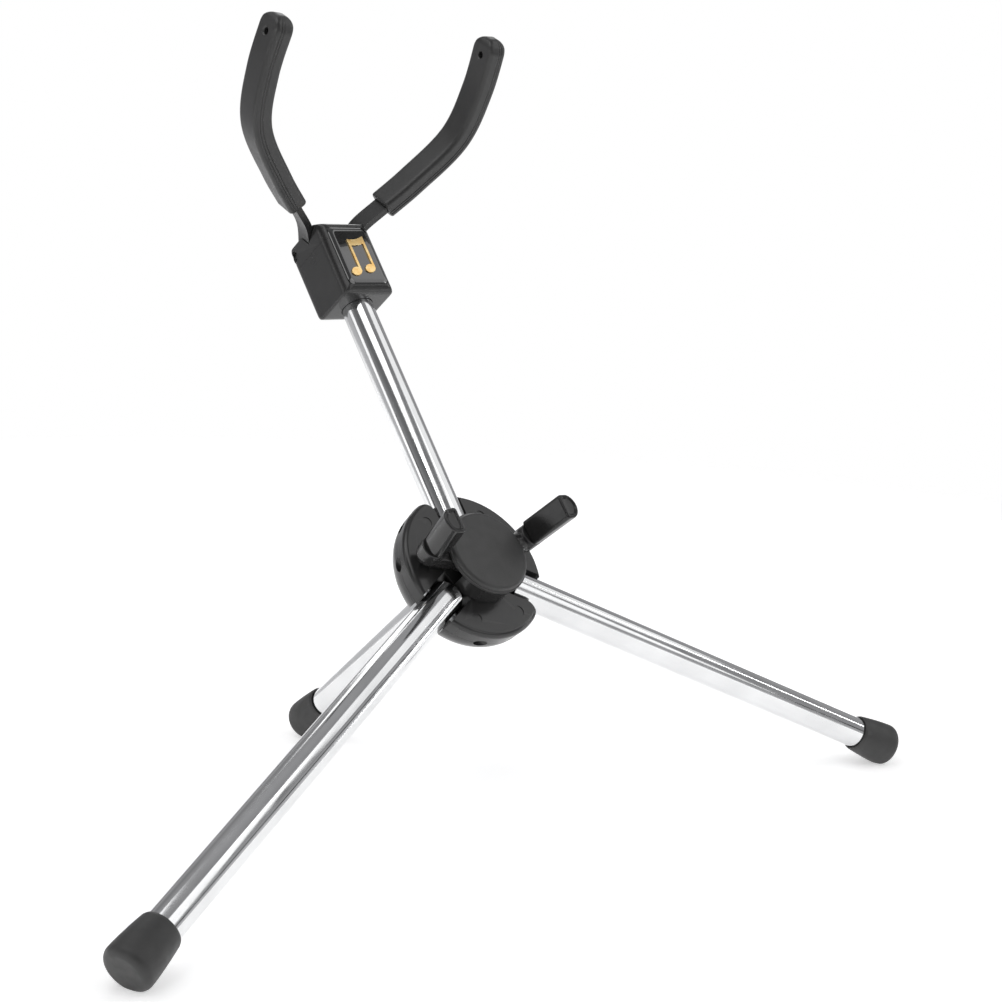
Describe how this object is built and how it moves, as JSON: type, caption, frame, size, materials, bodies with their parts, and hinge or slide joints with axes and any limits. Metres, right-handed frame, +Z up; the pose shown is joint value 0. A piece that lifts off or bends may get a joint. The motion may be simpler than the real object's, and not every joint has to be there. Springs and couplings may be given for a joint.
{
  "type": "saxophone stand",
  "caption": "Folding tripod stand with a round hub, chromed tube legs and neck, a padded two-armed fork for the bell and two padded pegs.",
  "frame": {"origin": "on the floor, at the middle of the outline's bounding box", "axes": "+Z up; the stand faces -Y, towards the player; +X to the right across the two front feet"},
  "size_m": [0.4798, 0.224, 0.3691],
  "materials": {
    "black_plastic": "satin moulded nylon",
    "chrome_tube": "bright chrome plating",
    "black_rubber": "smooth moulded rubber",
    "black_paint": "black powder coat on steel strip",
    "zinc_steel": "zinc plated",
    "gloss_badge": "glossy domed resin",
    "gold_emblem": "bright gold foil"
  },
  "bodies": {
    "root": {"hub_front_shell": "black_plastic", "hub_rear_shell": "black_plastic", "peg_column": "black_plastic", "front_cap": "black_plastic", "hub_centre_bolt": "zinc_steel", "hub_shell_screw_1": "zinc_steel", "hub_shell_screw_2": "zinc_steel", "hub_shell_screw_3": "zinc_steel", "neck_hinge_pin": "zinc_steel", "left_leg_hinge_pin": "zinc_steel", "right_leg_hinge_pin": "zinc_steel", "rear_leg_tube": "chrome_tube", "rear_leg_plug": "black_plastic", "rear_foot": "black_rubber", "left_peg_screw": "zinc_steel", "right_peg_screw": "zinc_steel"},
    "left_leg": {"left_leg_tube": "chrome_tube", "left_leg_plug": "black_plastic", "left_foot": "black_rubber"},
    "right_leg": {"right_leg_tube": "chrome_tube", "right_leg_plug": "black_plastic", "right_foot": "black_rubber"},
    "neck": {"neck_tube": "chrome_tube", "neck_plug": "black_plastic", "head_block_lower": "black_plastic", "head_block_upper": "black_plastic", "badge_plate": "gloss_badge", "badge_emblem": "gold_emblem", "head_block_screw": "zinc_steel", "fork_pivot_pin": "zinc_steel"},
    "left_arm": {"left_fork_strip": "black_paint", "left_fork_sleeve": "black_rubber"},
    "right_arm": {"right_fork_strip": "black_paint", "right_fork_sleeve": "black_rubber"},
    "left_peg": {"left_peg_arm": "black_plastic", "left_peg_sleeve": "black_rubber"},
    "right_peg": {"right_peg_arm": "black_plastic", "right_peg_sleeve": "black_rubber"}
  },
  "joints": [
    {"name": "left_leg_fold", "type": "hinge", "parent": "root", "child": "left_leg", "pos_m": [-0.02382, -0.02604, 0.10369], "axis": [0.5, -0.5716, -0.6506], "range_deg": [0, 88]},
    {"name": "right_leg_fold", "type": "hinge", "parent": "root", "child": "right_leg", "pos_m": [0.02382, -0.02604, 0.10369], "axis": [0.5, 0.5716, 0.6506], "range_deg": [0, 88]},
    {"name": "neck_fold", "type": "hinge", "parent": "root", "child": "neck", "pos_m": [0, 0.00118, 0.13468], "axis": [-1, 0, 0], "range_deg": [0, 90]},
    {"name": "left_arm_fold", "type": "hinge", "parent": "neck", "child": "left_arm", "pos_m": [0, 0.10765, 0.25423], "axis": [-1, 0, 0], "range_deg": [0, 90]},
    {"name": "right_arm_fold", "type": "hinge", "parent": "neck", "child": "right_arm", "pos_m": [0, 0.10765, 0.25423], "axis": [-1, 0, 0], "range_deg": [0, 90]},
    {"name": "left_peg_swivel", "type": "hinge", "parent": "root", "child": "left_peg", "pos_m": [-0.012, -0.02574, 0.12373], "axis": [0, 0.7513, -0.66], "range_deg": [-15, 30]},
    {"name": "right_peg_swivel", "type": "hinge", "parent": "root", "child": "right_peg", "pos_m": [0.012, -0.02574, 0.12373], "axis": [0, -0.7513, 0.66], "range_deg": [-15, 30]}
  ]
}
